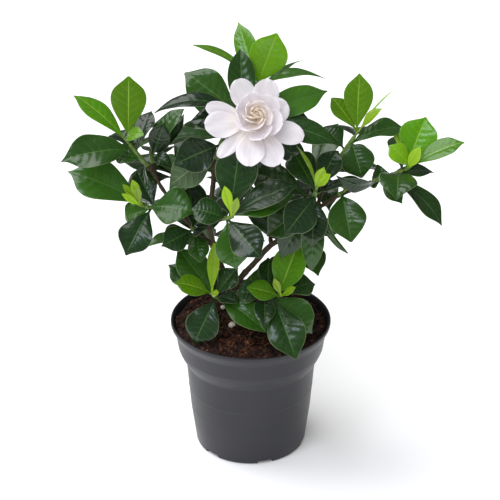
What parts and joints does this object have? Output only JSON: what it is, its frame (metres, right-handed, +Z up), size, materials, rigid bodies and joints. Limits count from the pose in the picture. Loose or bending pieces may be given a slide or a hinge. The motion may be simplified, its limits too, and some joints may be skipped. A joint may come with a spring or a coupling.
{
  "type": "potted gardenia",
  "caption": "Young gardenia bush with glossy leaves, lime young shoots and a double white bloom, in a plain grey nursery pot of peat.",
  "frame": {"origin": "Centre of the pot's flat underside, on the surface that the pot stands on.", "axes": "+Z is up, along the pot's axis. The bloom and the front of the bush face -Y. +X is to the right of someone who looks at the front."},
  "size_m": [0.3102, 0.1716, 0.3488],
  "materials": {
    "nursery_pot": "satin",
    "peat": "matte",
    "perlite": "matte",
    "bark": "matte",
    "leaf": "gloss",
    "young_leaf": "satin",
    "petal": "satin"
  },
  "bodies": {
    "root": {"pot": "nursery_pot", "soil": "peat", "perlite_1": "perlite", "perlite_2": "perlite", "perlite_3": "perlite", "woody_stems": "bark", "bloom": "petal", "bloom_stalk": "young_leaf", "young_left_top": "young_leaf", "young_left_low": "young_leaf", "young_crown": "young_leaf", "young_centre": "young_leaf", "young_low_left": "young_leaf", "young_low_right": "young_leaf", "young_right_mid": "young_leaf", "young_right_hanging": "young_leaf", "young_right_top": "young_leaf", "young_right_end": "young_leaf", "leaves_left_top": "leaf", "leaves_left_inner": "leaf", "leaves_left_low": "leaf", "leaves_under_bloom": "leaf", "leaves_bloom_stem": "leaf", "leaves_crown": "leaf", "leaves_centre": "leaf", "leaves_centre_left": "leaf", "leaves_low_left": "leaf", "leaves_low_right": "leaf", "leaves_right_mid": "leaf", "leaves_right_hanging": "leaf", "leaves_right_top": "leaf", "leaves_right_end": "leaf", "leaves_back_middle": "leaf", "leaves_back_left": "leaf", "leaves_back_high": "leaf", "leaves_back_right": "leaf", "leaves_back_low_left": "leaf", "leaves_back_low_right": "leaf"}
  },
  "joints": []
}
